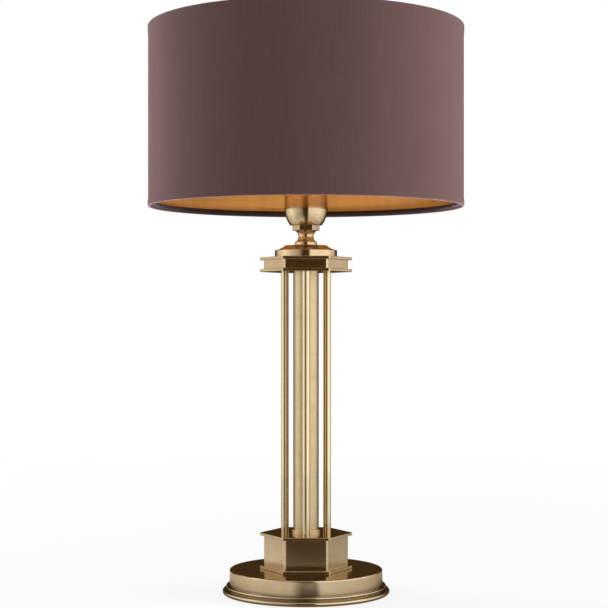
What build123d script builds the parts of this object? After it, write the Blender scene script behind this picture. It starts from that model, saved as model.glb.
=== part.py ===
from build123d import *
import os
from math import cos, radians, sin, sqrt

# Column table lamp: a round turned base, a hexagonal pedestal, a column of three
# rods about a central tube, a hexagonal capital, a turned neck and socket cup,
# and a drum shade clamped on the lampholder by a screw ring.
# Millimetres. The origin is the centre of the underside and +Z is up. The front
# of the hexagons looks along -Y, with a corner at each end of the X axis.

os.makedirs("parts", exist_ok=True)

# ---------------------------------------------------------------- dimensions
# clearances
slip_gap = 0.1  # radial, where a piece slides into or over another
thread_gap = 0.1  # radial, between a thread and its nut or hole
lift_gap = 0.05  # between faces that part when the shade comes off
glue_gap = 0.05  # between cloth and what it is glued to
weld_gap = 0.05  # between wires of the shade frame

# tie pipe, an M10 x 1 threaded conduit
pipe_radius = 5.0
pipe_bore_radius = 3.8
pipe_passage = 0.3  # radial clearance of the holes that the pipe passes through
pipe_into_holder = 9.0  # height of the threaded boss in the lampholder's cover
pipe_tail = 1.0  # how far the pipe passes the foot nut and stops short in the boss
nut_across_flats = 14.0
nut_height = 3.5
washer_thickness = 1.5
foot_washer_radius = 13.0
cup_washer_radius = 9.0

# base
felt_margin = 0.7  # radial, the felt stays inside the foot's hollow
felt_thickness = 1.5
rim_lift = 0.5  # the foot's edge stands this much above the table
base_height = 25.0  # table to flat top
base_wall_radius = 77.7
base_skin = 2.0
base_edge_radius = 1.5
step_height = 9.2  # top of the moulding above the table
step_reach = 3.6  # how far the upper bead stands out from the wall
step_bead_radius = 1.3
foot_reach = 7.2  # how far the lower bead stands out from the wall
foot_bead_radius = 2.4
cover_thickness = 1.6
cover_clearance = 0.2

# ballast
ballast_thickness = 14.0
ballast_gap = 2.5  # radial, to the base wall
ballast_slot_width = 14.0
ballast_recess_radius = 16.0
ballast_recess_depth = 6.0
boss_inset = 15.2  # from the ballast's rim to the middle of a boss
boss_radius = 5.0
boss_count = 3
boss_start_angle = 30.0
cover_screw_radius = 1.5
cover_screw_length = 9.0
cover_screw_head_radius = 2.8
cover_screw_head_height = 1.3

# lead bush
bush_height = 16.0  # its centre above the table
bush_bore_radius = 3.3
bush_neck_radius = 4.4
bush_flange_radius = 5.6
bush_outer_length = 3.0
bush_inner_length = 1.2
bush_flange_rounding = 1.2

# hexagonal plates and boxes, sizes across corners before these are rounded
plate_across_corners = 94.4
plate_thickness = 3.0
plate_bevel = 0.4
plate_corner_radius = 2.0
box_across_corners = 86.2
box_wall = 2.0
box_corner_radius = 3.0
pedestal_box_height = 30.5
capital_box_height = 9.0

# column
column_height = 265.0  # between the pedestal and the capital
rod_radius = 4.0
rod_circle_radius = 24.9  # from the lamp's axis to a rod's
first_rod_angle = 270.0  # the front rod stands on the -Y side
spigot_radius = 2.5
spigot_length = 2.0
spigot_floor_gap = 0.2
tube_radius = 13.0
tube_wall = 1.0
foot_ring_width = 1.5
foot_ring_height = 3.6
foot_ring_rounding = 0.6
locator_thickness = 3.0

# cap
cap_radius = 31.7
cap_height = 12.0
cap_band_height = 7.2
cap_edge_radius = 0.8
cap_crown_radius = 21.0
cap_bulge = 0.7
cap_wall = 1.5

# neck
neck_bead_radius = 11.2
neck_bead_height = 3.7
neck_bead_edge = 0.6
waist_radius = 7.7
waist_height = 11.3
waist_top_radius = 11.3
collar_across_flats = 24.4
collar_height = 5.5
collar_bevel = 0.3
collar_corner_radius = 1.2

# socket cup
cup_gap = 1.1  # radial, from the lampholder to the cup
cup_foot_radius = 16.2
cup_foot_edge = 1.0
cup_bowl_height = 17.5
cup_height = 47.0
cup_wall = 1.2

# lampholder
holder_radius = 19.7
holder_wall = 2.4
holder_cover_height = 24.0
holder_boss_radius = 8.0
skirt_height = 43.0
skirt_lip = 1.6
ledge_width = 1.8
core_floor = 6.0
core_top_drop = 4.0  # from the skirt's rim down to the core's rim
shell_bore_radius = 13.35
shell_wall = 0.5
shell_drop = 1.0  # from the core's rim down to the shell's rim
shell_lift = 4.0  # from the core's floor up to the shell's foot
mouth_gap = 0.6  # radial, between the skirt's lip and the sleeve's bore
contact_width = 6.0
contact_length = 14.0
contact_thickness = 0.6
contact_rise = 3.0
terminal_spacing = 16.0
terminal_screw_radius = 1.5
terminal_head_radius = 2.8
terminal_head_height = 2.0
terminal_screw_depth = 4.0

# shade ring
ring_flange_radius = 27.5
ring_flange_thickness = 2.0
ring_barrel_radius = 23.4
ring_height = 10.0
ring_grip_count = 24
ring_grip_radius = 0.9
ring_flange_rounding = 0.6

# shade
shade_radius = 160.0
shade_height = 182.0
shade_drop = 28.5  # from the fitter ring's seat down to the shade's lower edge
cloth_thickness = 0.5
liner_thickness = 0.6
hem_height = 6.0
hem_bulge = 0.5
hem_edge = 0.8
hem_fade = 1.5
frame_wire_radius = 1.5
fitter_radius = 29.0
fitter_thickness = 1.5
arm_start_angle = 90.0
arm_end_gap = 2.0  # from the cup to the arms' inner ends
arm_bend_radius = 12.0
arm_flat_length = 12.0
arm_notch_width = 6.0

# ---------------------------------------------------------------- levels and radii
base_wall_inner_radius = base_wall_radius - base_skin
base_ceiling = base_height - base_skin
cover_radius = base_wall_inner_radius - cover_clearance
cover_top = felt_thickness + cover_thickness
ballast_radius = base_wall_inner_radius - ballast_gap
felt_radius = base_wall_inner_radius - felt_margin
boss_circle_radius = ballast_radius - boss_inset
ballast_bottom = base_ceiling - ballast_thickness
ballast_slot_start = sqrt(ballast_recess_radius**2 - (ballast_slot_width / 2) ** 2)
foot_washer_bottom = ballast_bottom + ballast_recess_depth - washer_thickness
bush_inner_face = sqrt(base_wall_inner_radius**2 - bush_flange_radius**2) - slip_gap
rear_plane = Plane((0, 0, bush_height), x_dir=(1, 0, 0), z_dir=(0, 1, 0))
pipe_hole_radius = pipe_radius + pipe_passage
nut_hole_radius = pipe_radius + thread_gap

pedestal_box_bottom = base_height + plate_thickness
pedestal_box_top = pedestal_box_bottom + pedestal_box_height
column_foot = pedestal_box_top + plate_thickness
column_head = column_foot + column_height
capital_box_bottom = column_head + plate_thickness
capital_box_top = capital_box_bottom + capital_box_height
capital_top = capital_box_top + plate_thickness
neck_bottom = capital_top + cap_height
waist_bottom = neck_bottom + neck_bead_height
collar_bottom = waist_bottom + waist_height
cup_bottom = collar_bottom + collar_height
cup_top = cup_bottom + cup_height
cup_floor = cup_bottom + cup_wall
cup_radius = holder_radius + cup_gap + cup_wall
bowl_top = cup_bottom + cup_bowl_height
cap_shoulder = capital_top + cap_band_height
holder_bottom = cup_floor + washer_thickness + nut_height
holder_inner_radius = holder_radius - holder_wall
holder_foot_radius = cup_foot_radius - cup_wall - cup_gap
holder_boss_top = holder_bottom + pipe_into_holder
ledge_radius = holder_inner_radius - ledge_width
skirt_bottom = holder_bottom + holder_cover_height
skirt_top = skirt_bottom + skirt_height
core_floor_top = skirt_bottom + core_floor
core_top = skirt_top - core_top_drop
shell_bottom = core_floor_top + shell_lift
shell_top = core_top - shell_drop
mouth_radius = shell_bore_radius + shell_wall + slip_gap + mouth_gap
terminal_places = [(-terminal_spacing / 2, 0), (terminal_spacing / 2, 0)]
pipe_bottom = foot_washer_bottom - nut_height - pipe_tail
pipe_top = holder_boss_top - pipe_tail

plate_circumradius = plate_across_corners / 2
box_circumradius = box_across_corners / 2
foot_ring_radius = tube_radius + slip_gap + foot_ring_width
locator_radius = tube_radius - tube_wall - slip_gap

locator_levels = {
    "tube_locator_foot": column_foot,
    "tube_locator_head": column_head - locator_thickness,
}


def around(circle_radius, angle):
    """A point on a circle about the lamp's axis."""
    return (circle_radius * cos(radians(angle)), circle_radius * sin(radians(angle)))


rod_places = {
    "rod_front": around(rod_circle_radius, first_rod_angle),
    "rod_rear_right": around(rod_circle_radius, first_rod_angle + 120),
    "rod_rear_left": around(rod_circle_radius, first_rod_angle + 240),
}

shade_bottom = cup_top - shade_drop
shade_top = shade_bottom + shade_height
shade_middle = (shade_bottom + shade_top) / 2
liner_outer_radius = shade_radius - cloth_thickness - glue_gap
liner_inner_radius = liner_outer_radius - liner_thickness
wire_ring_radius = liner_inner_radius - glue_gap - frame_wire_radius
wire_ring_inset = cloth_thickness + glue_gap + frame_wire_radius
hem_inner_radius = wire_ring_radius - frame_wire_radius - glue_gap - cloth_thickness
fitter_bottom = cup_top + lift_gap
fitter_top = fitter_bottom + fitter_thickness
fitter_hole_radius = (holder_radius + cup_radius - cup_wall) / 2
shade_ring_bottom = fitter_top + lift_gap
liner_bottom = shade_bottom + cloth_thickness + glue_gap
liner_height = shade_height - 2 * (cloth_thickness + glue_gap)
hem_top = shade_bottom + hem_height
hem_outer_radius = shade_radius + hem_bulge
arm_inner_radius = cup_radius + arm_end_gap
arm_inner_level = fitter_bottom - weld_gap - frame_wire_radius
arm_outer_level = shade_bottom + wire_ring_inset + 2 * frame_wire_radius + weld_gap
arm_angles = {
    "fitter_arm_rear": arm_start_angle,
    "fitter_arm_left": arm_start_angle + 120,
    "fitter_arm_right": arm_start_angle + 240,
}
arm_count = len(arm_angles)


# ---------------------------------------------------------------- base
step_centre_radius = base_wall_radius + step_reach - step_bead_radius
step_centre_height = step_height - step_bead_radius
foot_centre_radius = base_wall_radius + foot_reach - foot_bead_radius
foot_centre_height = rim_lift + foot_bead_radius

# The shell is one turning: flat top, rounded edge, plain wall, a small bead
# standing on a larger one, and a hollow underside.
with BuildPart() as base_shell:
    with BuildSketch(Plane.XZ):
        with BuildLine():
            top_face = Line(
                (pipe_hole_radius, base_height), (base_wall_radius - base_edge_radius, base_height)
            )
            rounding = TangentArc(
                top_face @ 1, (base_wall_radius, base_height - base_edge_radius), tangent=top_face % 1
            )
            wall = Line(rounding @ 1, (base_wall_radius, step_height))
            step = Line(wall @ 1, (step_centre_radius, step_height))
            upper_bead = ThreePointArc(
                step @ 1,
                (step_centre_radius + step_bead_radius, step_centre_height),
                (step_centre_radius, step_centre_height - step_bead_radius),
            )
            fillet_line = Line(upper_bead @ 1, (step_centre_radius, foot_centre_height + foot_bead_radius))
            ledge = Line(fillet_line @ 1, (foot_centre_radius, foot_centre_height + foot_bead_radius))
            lower_bead = ThreePointArc(
                ledge @ 1,
                (foot_centre_radius + foot_bead_radius, foot_centre_height),
                (foot_centre_radius, rim_lift),
            )
            Polyline(
                lower_bead @ 1,
                (base_wall_inner_radius, rim_lift),
                (base_wall_inner_radius, base_ceiling),
                (pipe_hole_radius, base_ceiling),
                top_face @ 0,
            )
        make_face()
    revolve(axis=Axis.Z)
    # hole through the rear wall for the bush
    with BuildSketch(rear_plane.offset(base_wall_radius)):
        Circle(bush_neck_radius + slip_gap)
    extrude(amount=2 * base_skin, both=True, mode=Mode.SUBTRACT)
base_shell.part.label = "base_shell"
export_step(base_shell.part, "parts/base_shell.step")

# Cast ballast: a disc with a slot to the rear for the lead, a recess for the
# foot nut, and three bosses that carry the cover plate.
with BuildPart() as ballast:
    with BuildSketch(Plane.XY.offset(ballast_bottom)):
        Circle(ballast_radius)
    extrude(amount=ballast_thickness)
    with BuildSketch(Plane.XY.offset(cover_top)):
        with PolarLocations(boss_circle_radius, boss_count, start_angle=boss_start_angle):
            Circle(boss_radius)
    extrude(amount=ballast_bottom - cover_top)
    with BuildSketch(Plane.XY.offset(ballast_bottom)):
        Circle(ballast_recess_radius)
    extrude(amount=ballast_recess_depth, mode=Mode.SUBTRACT)
    with BuildSketch(Plane.XY.offset(ballast_bottom)):
        with Locations((0, ballast_slot_start)):
            Rectangle(ballast_slot_width, ballast_radius, align=(Align.CENTER, Align.MIN))
    extrude(amount=ballast_thickness, mode=Mode.SUBTRACT)
    with BuildSketch(Plane.XY.offset(ballast_bottom)):
        Circle(pipe_hole_radius)
    extrude(amount=ballast_thickness, mode=Mode.SUBTRACT)
    with BuildSketch(Plane.XY.offset(cover_top)):
        with PolarLocations(boss_circle_radius, boss_count, start_angle=boss_start_angle):
            Circle(cover_screw_radius + thread_gap)
    extrude(amount=cover_screw_length, mode=Mode.SUBTRACT)
ballast.part.label = "ballast"
export_step(ballast.part, "parts/ballast.step")

# Cover plate, countersunk from below for its three screws.
with BuildPart(Plane.XY.offset(felt_thickness)) as base_cover:
    Cylinder(cover_radius, cover_thickness, align=(Align.CENTER, Align.CENTER, Align.MIN))
    with PolarLocations(boss_circle_radius, boss_count, start_angle=boss_start_angle):
        Cone(
            cover_screw_head_radius + slip_gap,
            cover_screw_radius + slip_gap,
            cover_screw_head_height + slip_gap,
            align=(Align.CENTER, Align.CENTER, Align.MIN),
            mode=Mode.SUBTRACT,
        )
        Cylinder(
            cover_screw_radius + slip_gap,
            cover_thickness,
            align=(Align.CENTER, Align.CENTER, Align.MIN),
            mode=Mode.SUBTRACT,
        )
base_cover.part.label = "base_cover"
export_step(base_cover.part, "parts/base_cover.step")

with BuildPart(Plane.XY.offset(felt_thickness)) as cover_screws:
    with PolarLocations(boss_circle_radius, boss_count, start_angle=boss_start_angle):
        Cone(
            cover_screw_head_radius,
            cover_screw_radius,
            cover_screw_head_height,
            align=(Align.CENTER, Align.CENTER, Align.MIN),
        )
        Cylinder(cover_screw_radius, cover_screw_length, align=(Align.CENTER, Align.CENTER, Align.MIN))
cover_screws.part.label = "cover_screws"
export_step(cover_screws.part, "parts/cover_screws.step")

with BuildPart() as felt_pad:
    Cylinder(felt_radius, felt_thickness, align=(Align.CENTER, Align.CENTER, Align.MIN))
felt_pad.part.label = "felt_pad"
export_step(felt_pad.part, "parts/felt_pad.step")

# Bush in the rear wall, where the lead enters: a rounded outer flange, a neck
# through the wall and a thin inner flange that clears the wall's curve.
with BuildPart() as lead_bush:
    with BuildSketch(rear_plane.offset(bush_inner_face - bush_inner_length)):
        Circle(bush_flange_radius)
    extrude(amount=bush_inner_length)
    with BuildSketch(rear_plane.offset(bush_inner_face)):
        Circle(bush_neck_radius)
    extrude(amount=base_wall_radius - bush_inner_face)
    with BuildSketch(rear_plane.offset(base_wall_radius)):
        Circle(bush_flange_radius)
    extrude(amount=bush_outer_length)
    fillet(lead_bush.edges().sort_by(Axis.Y)[-1], bush_flange_rounding)
    with BuildSketch(rear_plane.offset(base_wall_radius + bush_outer_length)):
        Circle(bush_bore_radius)
    extrude(amount=-base_wall_radius, mode=Mode.SUBTRACT)
lead_bush.part.label = "lead_bush"
export_step(lead_bush.part, "parts/lead_bush.step")


# ---------------------------------------------------------------- tie pipe, nuts and washers
def flat_ring(level, outer_radius, hole_radius, thickness):
    """A flat ring about the lamp's axis, standing on a level."""
    with BuildPart() as ring:
        with BuildSketch(Plane.XY.offset(level)):
            Circle(outer_radius)
            Circle(hole_radius, mode=Mode.SUBTRACT)
        extrude(amount=thickness)
    return ring.part


def pipe_nut(level):
    """A thin hexagonal nut on the tie pipe."""
    with BuildPart() as nut:
        with BuildSketch(Plane.XY.offset(level)):
            RegularPolygon(nut_across_flats / 2, 6, major_radius=False)
            Circle(nut_hole_radius, mode=Mode.SUBTRACT)
        extrude(amount=nut_height)
    return nut.part


with BuildPart() as tie_pipe:
    add(flat_ring(pipe_bottom, pipe_radius, pipe_bore_radius, pipe_top - pipe_bottom))
tie_pipe.part.label = "tie_pipe"
export_step(tie_pipe.part, "parts/tie_pipe.step")

with BuildPart() as foot_washer:
    add(flat_ring(foot_washer_bottom, foot_washer_radius, pipe_hole_radius, washer_thickness))
foot_washer.part.label = "foot_washer"
export_step(foot_washer.part, "parts/foot_washer.step")

with BuildPart() as foot_nut:
    add(pipe_nut(foot_washer_bottom - nut_height))
foot_nut.part.label = "foot_nut"
export_step(foot_nut.part, "parts/foot_nut.step")

with BuildPart() as cup_washer:
    add(flat_ring(cup_floor, cup_washer_radius, pipe_hole_radius, washer_thickness))
cup_washer.part.label = "cup_washer"
export_step(cup_washer.part, "parts/cup_washer.step")

with BuildPart() as cup_nut:
    add(pipe_nut(cup_floor + washer_thickness))
cup_nut.part.label = "cup_nut"
export_step(cup_nut.part, "parts/cup_nut.step")


# ---------------------------------------------------------------- pedestal and capital
def hexagonal_plate(level):
    """A flat hexagonal plate with bevelled rims and a hole for the tie pipe."""
    with BuildPart() as plate:
        with BuildSketch(Plane.XY.offset(level)) as outline:
            RegularPolygon(plate_circumradius, 6)
            fillet(outline.vertices(), plate_corner_radius)
        extrude(amount=plate_thickness)
        chamfer(plate.edges().filter_by(Axis.Z, reverse=True), plate_bevel)
        with BuildSketch(Plane.XY.offset(level)):
            Circle(pipe_hole_radius)
        extrude(amount=plate_thickness, mode=Mode.SUBTRACT)
    return plate.part


def hexagonal_box(level, height):
    """The walls of a hexagonal box folded from sheet, open above and below."""
    with BuildPart() as box:
        with BuildSketch(Plane.XY.offset(level)) as outline:
            RegularPolygon(box_circumradius, 6)
            fillet(outline.vertices(), box_corner_radius)
            offset(amount=-box_wall, kind=Kind.INTERSECTION, mode=Mode.SUBTRACT)
        extrude(amount=height)
    return box.part


with BuildPart() as pedestal_lower_plate:
    add(hexagonal_plate(base_height))
pedestal_lower_plate.part.label = "pedestal_lower_plate"
export_step(pedestal_lower_plate.part, "parts/pedestal_lower_plate.step")

with BuildPart() as pedestal_box:
    add(hexagonal_box(pedestal_box_bottom, pedestal_box_height))
pedestal_box.part.label = "pedestal_box"
export_step(pedestal_box.part, "parts/pedestal_box.step")

# The two plates that face the column have a blind socket for each rod.
with BuildPart() as pedestal_upper_plate:
    add(hexagonal_plate(pedestal_box_top))
    with BuildSketch(Plane.XY.offset(column_foot)):
        with Locations(*rod_places.values()):
            Circle(spigot_radius + slip_gap)
    extrude(amount=-spigot_length - spigot_floor_gap, mode=Mode.SUBTRACT)
pedestal_upper_plate.part.label = "pedestal_upper_plate"
export_step(pedestal_upper_plate.part, "parts/pedestal_upper_plate.step")

with BuildPart() as capital_lower_plate:
    add(hexagonal_plate(column_head))
    with BuildSketch(Plane.XY.offset(column_head)):
        with Locations(*rod_places.values()):
            Circle(spigot_radius + slip_gap)
    extrude(amount=spigot_length + spigot_floor_gap, mode=Mode.SUBTRACT)
capital_lower_plate.part.label = "capital_lower_plate"
export_step(capital_lower_plate.part, "parts/capital_lower_plate.step")

with BuildPart() as capital_box:
    add(hexagonal_box(capital_box_bottom, capital_box_height))
capital_box.part.label = "capital_box"
export_step(capital_box.part, "parts/capital_box.step")

with BuildPart() as capital_upper_plate:
    add(hexagonal_plate(capital_box_top))
capital_upper_plate.part.label = "capital_upper_plate"
export_step(capital_upper_plate.part, "parts/capital_upper_plate.step")


# ---------------------------------------------------------------- column
# Each rod has a spigot turned on both ends, seated in the plates' sockets.
for rod_name, (rod_x, rod_y) in rod_places.items():
    with BuildPart() as rod:
        with BuildSketch(Plane((rod_x, rod_y, column_foot - spigot_length))):
            Circle(spigot_radius)
        extrude(amount=column_height + 2 * spigot_length)
        with BuildSketch(Plane((rod_x, rod_y, column_foot))):
            Circle(rod_radius)
        extrude(amount=column_height)
    rod.part.label = rod_name
    export_step(rod.part, f"parts/{rod_name}.step")

with BuildPart() as central_tube:
    add(flat_ring(column_foot, tube_radius, tube_radius - tube_wall, column_height))
central_tube.part.label = "central_tube"
export_step(central_tube.part, "parts/central_tube.step")

with BuildPart() as tube_foot_ring:
    add(flat_ring(column_foot, foot_ring_radius, tube_radius + slip_gap, foot_ring_height))
    fillet(tube_foot_ring.edges().group_by(Axis.Z)[-1].sort_by(SortBy.RADIUS)[-1], foot_ring_rounding)
tube_foot_ring.part.label = "tube_foot_ring"
export_step(tube_foot_ring.part, "parts/tube_foot_ring.step")

# Washers inside the tube's ends keep it central on the tie pipe.
for locator_name, locator_bottom in locator_levels.items():
    with BuildPart() as locator:
        add(flat_ring(locator_bottom, locator_radius, pipe_hole_radius, locator_thickness))
    locator.part.label = locator_name
    export_step(locator.part, f"parts/{locator_name}.step")


# ---------------------------------------------------------------- cap, neck and socket cup
# Spun cap: an upright band, a rounded shoulder and a slightly bulging slope up
# to a flat crown, hollow below.
with BuildPart() as dome_cap:
    with BuildSketch(Plane.XZ):
        with BuildLine():
            band = Line((cap_radius, capital_top), (cap_radius, cap_shoulder - cap_edge_radius))
            shoulder = TangentArc(band @ 1, (cap_radius - cap_edge_radius, cap_shoulder), tangent=band % 1)
            slope = SagittaArc(shoulder @ 1, (cap_crown_radius, neck_bottom), cap_bulge)
            Polyline(slope @ 1, (0, neck_bottom), (0, capital_top), band @ 0)
        make_face()
    revolve(axis=Axis.Z)
    offset(amount=-cap_wall, openings=dome_cap.faces().sort_by(Axis.Z)[0])
    with BuildSketch(Plane.XY.offset(capital_top)):
        Circle(pipe_hole_radius)
    extrude(amount=cap_height, mode=Mode.SUBTRACT)
dome_cap.part.label = "dome_cap"
export_step(dome_cap.part, "parts/dome_cap.step")

# Neck, turned from hexagonal bar: a round bead at the foot and a concave waist
# below the hexagonal collar that is left of the bar.
with BuildPart() as neck:
    with BuildSketch(Plane.XY.offset(collar_bottom)) as collar_outline:
        RegularPolygon(collar_across_flats / 2, 6, major_radius=False)
        fillet(collar_outline.vertices(), collar_corner_radius)
    extrude(amount=collar_height)
    chamfer(neck.edges().filter_by(Axis.Z, reverse=True), collar_bevel)
    with BuildSketch(Plane.XZ):
        with BuildLine():
            seat = Line((0, neck_bottom), (neck_bead_radius - neck_bead_edge, neck_bottom))
            low_round = TangentArc(
                seat @ 1, (neck_bead_radius, neck_bottom + neck_bead_edge), tangent=seat % 1
            )
            bead_side = Line(low_round @ 1, (neck_bead_radius, waist_bottom - neck_bead_edge))
            high_round = TangentArc(
                bead_side @ 1, (neck_bead_radius - neck_bead_edge, waist_bottom), tangent=bead_side % 1
            )
            waist = ThreePointArc(
                high_round @ 1,
                (waist_radius, waist_bottom + waist_height / 2),
                (waist_top_radius, collar_bottom),
            )
            Polyline(waist @ 1, (0, collar_bottom), seat @ 0)
        make_face()
    revolve(axis=Axis.Z)
    with BuildSketch(Plane.XY.offset(neck_bottom)):
        Circle(pipe_hole_radius)
    extrude(amount=cup_bottom - neck_bottom, mode=Mode.SUBTRACT)
neck.part.label = "neck"
export_step(neck.part, "parts/neck.step")

# Socket cup: a spun bowl whose side runs into the cylinder above without a break.
with BuildPart() as socket_cup:
    with BuildSketch(Plane.XZ):
        with BuildLine():
            cylinder_side = Line((cup_radius, cup_top), (cup_radius, bowl_top))
            bowl = TangentArc(
                cylinder_side @ 1, (cup_foot_radius, cup_bottom), tangent=cylinder_side % 1
            )
            Polyline(bowl @ 1, (0, cup_bottom), (0, cup_top), cylinder_side @ 0)
        make_face()
    revolve(axis=Axis.Z)
    fillet(socket_cup.edges().filter_by(GeomType.CIRCLE).sort_by(Axis.Z)[0], cup_foot_edge)
    offset(amount=-cup_wall, openings=socket_cup.faces().sort_by(Axis.Z)[-1])
    with BuildSketch(Plane.XY.offset(cup_bottom)):
        Circle(pipe_hole_radius)
    extrude(amount=2 * cup_wall, mode=Mode.SUBTRACT)
socket_cup.part.label = "socket_cup"
export_step(socket_cup.part, "parts/socket_cup.step")


# ---------------------------------------------------------------- lampholder
# Lower cover: a moulded cup that follows the bowl round it, with a threaded boss
# for the tie pipe and a ledge round its mouth that carries the core.
with BuildPart() as holder_cover:
    with BuildSketch(Plane.XZ):
        with BuildLine():
            side = Line((holder_radius, skirt_bottom), (holder_radius, bowl_top))
            belly = TangentArc(side @ 1, (holder_foot_radius, holder_bottom), tangent=side % 1)
            Polyline(
                belly @ 1,
                (nut_hole_radius, holder_bottom),
                (nut_hole_radius, holder_boss_top),
                (holder_boss_radius, holder_boss_top),
                (holder_boss_radius, holder_bottom + holder_wall),
                (holder_foot_radius - holder_wall, holder_bottom + holder_wall),
                (holder_inner_radius, bowl_top),
                (holder_inner_radius, skirt_bottom - holder_wall),
                (ledge_radius, skirt_bottom - holder_wall),
                (ledge_radius, skirt_bottom),
                side @ 0,
            )
        make_face()
    revolve(axis=Axis.Z)
holder_cover.part.label = "holder_cover"
export_step(holder_cover.part, "parts/holder_cover.step")

# Insulating core: a floor that carries the contact and terminals, and a sleeve
# round the screw shell.
with BuildPart() as holder_core:
    with BuildSketch(Plane.XY.offset(skirt_bottom)):
        Circle(holder_inner_radius - slip_gap)
    extrude(amount=core_top - skirt_bottom)
    with BuildSketch(Plane.XY.offset(core_floor_top)):
        Circle(shell_bore_radius + shell_wall + slip_gap)
    extrude(amount=core_top - core_floor_top, mode=Mode.SUBTRACT)
    with BuildSketch(Plane.XY.offset(skirt_bottom)):
        with Locations(*terminal_places):
            Circle(terminal_screw_radius + thread_gap)
    extrude(amount=terminal_screw_depth, mode=Mode.SUBTRACT)
holder_core.part.label = "holder_core"
export_step(holder_core.part, "parts/holder_core.step")

# Outer skirt, with a lip at its mouth that holds the core down.
with BuildPart() as holder_skirt:
    with BuildSketch(Plane.XY.offset(skirt_bottom)):
        Circle(holder_radius)
        Circle(holder_inner_radius, mode=Mode.SUBTRACT)
    extrude(amount=skirt_height)
    with BuildSketch(Plane.XY.offset(skirt_top)):
        Circle(holder_radius)
        Circle(mouth_radius, mode=Mode.SUBTRACT)
    extrude(amount=-skirt_lip)
holder_skirt.part.label = "holder_skirt"
export_step(holder_skirt.part, "parts/holder_skirt.step")

with BuildPart() as screw_shell:
    add(flat_ring(shell_bottom, shell_bore_radius + shell_wall, shell_bore_radius, shell_top - shell_bottom))
screw_shell.part.label = "screw_shell"
export_step(screw_shell.part, "parts/screw_shell.step")

# Centre contact: a bent spring tongue, flat on the core's floor at one end.
with BuildPart() as centre_contact:
    with BuildSketch(Plane.XZ):
        with BuildLine():
            Polyline(
                (-contact_length / 2, core_floor_top + contact_thickness / 2),
                (-contact_length / 4, core_floor_top + contact_thickness / 2),
                (0, core_floor_top + contact_rise),
                (contact_length / 4, core_floor_top + contact_rise),
            )
        trace(line_width=contact_thickness)
    extrude(amount=contact_width / 2, both=True)
centre_contact.part.label = "centre_contact"
export_step(centre_contact.part, "parts/centre_contact.step")

with BuildPart() as terminal_screws:
    with BuildSketch(Plane.XY.offset(skirt_bottom)):
        with Locations(*terminal_places):
            Circle(terminal_head_radius)
    extrude(amount=-terminal_head_height)
    with BuildSketch(Plane.XY.offset(skirt_bottom)):
        with Locations(*terminal_places):
            Circle(terminal_screw_radius)
    extrude(amount=terminal_screw_depth)
terminal_screws.part.label = "terminal_screws"
export_step(terminal_screws.part, "parts/terminal_screws.step")


# ---------------------------------------------------------------- shade ring
# A flange that presses on the fitter, and a ribbed barrel to turn it by.
with BuildPart() as shade_ring:
    with BuildSketch(Plane.XY.offset(shade_ring_bottom)):
        Circle(ring_flange_radius)
    extrude(amount=ring_flange_thickness)
    fillet(shade_ring.edges(), ring_flange_rounding)
    with BuildSketch(Plane.XY.offset(shade_ring_bottom)):
        Circle(ring_barrel_radius)
        with PolarLocations(ring_barrel_radius, ring_grip_count):
            Circle(ring_grip_radius)
    extrude(amount=ring_height)
    with BuildSketch(Plane.XY.offset(shade_ring_bottom)):
        Circle(holder_radius + thread_gap)
    extrude(amount=ring_height, mode=Mode.SUBTRACT)
shade_ring.part.label = "shade_ring"
export_step(shade_ring.part, "parts/shade_ring.step")


# ---------------------------------------------------------------- shade
with BuildPart() as fitter_ring:
    add(flat_ring(fitter_bottom, fitter_radius, fitter_hole_radius, fitter_thickness))
fitter_ring.part.label = "fitter_ring"
export_step(fitter_ring.part, "parts/fitter_ring.step")

# Each arm lies flat under the fitter ring, slants down and lies flat again on
# the lower wire ring.
for arm_name, arm_angle in arm_angles.items():
    arm_plane = Plane(
        (0, 0, 0),
        x_dir=(cos(radians(arm_angle)), sin(radians(arm_angle)), 0),
        z_dir=(sin(radians(arm_angle)), -cos(radians(arm_angle)), 0),
    )
    with BuildPart() as arm:
        with BuildLine(arm_plane) as arm_path:
            FilletPolyline(
                (arm_inner_radius, arm_inner_level),
                (arm_inner_radius + arm_flat_length, arm_inner_level),
                (wire_ring_radius - arm_flat_length, arm_outer_level),
                (wire_ring_radius, arm_outer_level),
                radius=arm_bend_radius,
            )
        with BuildSketch(Plane(arm_path.line @ 0, z_dir=arm_path.line % 0)):
            Circle(frame_wire_radius)
        sweep(path=arm_path.line)
    arm.part.label = arm_name
    export_step(arm.part, f"parts/{arm_name}.step")

with BuildPart(Plane.XY.offset(shade_bottom + wire_ring_inset)) as lower_wire_ring:
    Torus(wire_ring_radius, frame_wire_radius)
lower_wire_ring.part.label = "lower_wire_ring"
export_step(lower_wire_ring.part, "parts/lower_wire_ring.step")

with BuildPart(Plane.XY.offset(shade_top - wire_ring_inset)) as upper_wire_ring:
    Torus(wire_ring_radius, frame_wire_radius)
upper_wire_ring.part.label = "upper_wire_ring"
export_step(upper_wire_ring.part, "parts/upper_wire_ring.step")

with BuildPart() as shade_liner:
    add(flat_ring(liner_bottom, liner_outer_radius, liner_inner_radius, liner_height))
shade_liner.part.label = "shade_liner"
export_step(shade_liner.part, "parts/shade_liner.step")

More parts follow.
